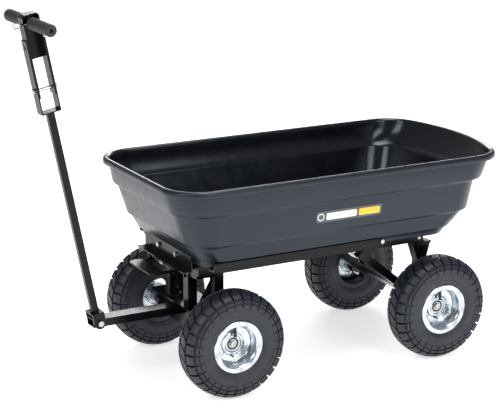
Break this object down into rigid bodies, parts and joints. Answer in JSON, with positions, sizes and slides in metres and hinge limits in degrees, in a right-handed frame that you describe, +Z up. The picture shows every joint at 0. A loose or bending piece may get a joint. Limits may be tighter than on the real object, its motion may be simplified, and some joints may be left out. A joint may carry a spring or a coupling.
{
  "type": "garden dump cart",
  "caption": "Garden dump cart with a moulded tub that tips rearward on a steel frame, pneumatic wheels, a steered front axle and a T-handle that folds into a hitch yoke.",
  "frame": {"origin": "on the ground under the middle of the overall box", "axes": "+X forward to the handle end, +Y to the cart's left, +Z up"},
  "size_m": [1.2436, 0.501, 0.9248],
  "materials": {
    "poly": "satin",
    "powder": "gloss",
    "tyre": "matte",
    "galvanised": "bright",
    "zinc": "bright",
    "rubber": "matte"
  },
  "bodies": {
    "frame": {"frame_rail_left": "powder", "frame_rail_right": "powder", "front_cross_member": "powder", "front_support": "powder", "rear_leg_left": "powder", "rear_leg_right": "powder", "rear_axle": "zinc", "bed_hinge_rod": "zinc"},
    "steering": {"front_axle_beam": "powder", "front_axle": "zinc", "tongue": "powder", "kingpin": "zinc", "kingpin_nut": "zinc"},
    "front_left_wheel": {"front_left_tyre": "tyre", "front_left_rim_outer": "galvanised", "front_left_rim_inner": "galvanised", "front_left_bearing_outer": "zinc", "front_left_bearing_inner": "zinc", "front_left_valve_stem": "rubber"},
    "front_right_wheel": {"front_right_tyre": "tyre", "front_right_rim_outer": "galvanised", "front_right_rim_inner": "galvanised", "front_right_bearing_outer": "zinc", "front_right_bearing_inner": "zinc", "front_right_valve_stem": "rubber"},
    "rear_left_wheel": {"rear_left_tyre": "tyre", "rear_left_rim_outer": "galvanised", "rear_left_rim_inner": "galvanised", "rear_left_bearing_outer": "zinc", "rear_left_bearing_inner": "zinc", "rear_left_valve_stem": "rubber"},
    "rear_right_wheel": {"rear_right_tyre": "tyre", "rear_right_rim_outer": "galvanised", "rear_right_rim_inner": "galvanised", "rear_right_bearing_outer": "zinc", "rear_right_bearing_inner": "zinc", "rear_right_valve_stem": "rubber"},
    "handle": {"handle_clevis": "powder", "handle_bolt": "zinc", "handle_tube": "powder", "handle_yoke": "powder", "cross_pin": "zinc"},
    "grip": {"grip_bracket": "powder", "grip_bar": "powder", "grip_left": "rubber", "grip_right": "rubber"},
    "hitch_pin_body": {"hitch_pin": "zinc"},
    "bed": {"bed_tub": "poly", "bed_rail_left": "powder", "bed_rail_right": "powder", "bed_rail_screw_left": "zinc", "bed_rail_screw_right": "zinc", "bed_front_angle": "powder", "front_angle_bolt_left": "zinc", "front_angle_bolt_right": "zinc", "bed_hinge_bracket": "powder", "release_spring": "zinc"},
    "release": {"release_handle": "powder"}
  },
  "joints": [
    {"name": "steer", "type": "hinge", "parent": "frame", "child": "steering", "pos_m": [0.17786, 0, 0.155], "axis": [0, 0, 1], "range_deg": [-40, 40]},
    {"name": "front_left_roll", "type": "hinge", "parent": "steering", "child": "front_left_wheel", "pos_m": [0.17786, 0.2077, 0.132], "axis": [0, 1, 0], "continuous": true},
    {"name": "front_right_roll", "type": "hinge", "parent": "steering", "child": "front_right_wheel", "pos_m": [0.17786, -0.2077, 0.132], "axis": [0, 1, 0], "continuous": true},
    {"name": "rear_left_roll", "type": "hinge", "parent": "frame", "child": "rear_left_wheel", "pos_m": [-0.41014, 0.2077, 0.132], "axis": [0, 1, 0], "continuous": true},
    {"name": "rear_right_roll", "type": "hinge", "parent": "frame", "child": "rear_right_wheel", "pos_m": [-0.41014, -0.2077, 0.132], "axis": [0, 1, 0], "continuous": true},
    {"name": "handle_tilt", "type": "hinge", "parent": "steering", "child": "handle", "pos_m": [0.43586, 0, 0.166], "axis": [0, 1, 0], "range_deg": [-14, 86]},
    {"name": "grip_fold", "type": "hinge", "parent": "handle", "child": "grip", "pos_m": [0.55226, 0, 0.74593], "axis": [0.9804, 0, -0.1968], "range_deg": [0, 120]},
    {"name": "hitch_pin_pull", "type": "slide", "parent": "grip", "child": "hitch_pin_body", "axis": [0.9804, 0, -0.1968], "range_m": [0, 0.055]},
    {"name": "bed_dump", "type": "hinge", "parent": "frame", "child": "bed", "pos_m": [-0.40114, 0, 0.2955], "axis": [0, -1, 0], "range_deg": [0, 60]},
    {"name": "release_lift", "type": "hinge", "parent": "bed", "child": "release", "pos_m": [0.25786, 0, 0.287], "axis": [0, -1, 0], "range_deg": [0, 25], "stiffness_Nm_per_rad": 1.2, "springref_deg": -22.92}
  ]
}
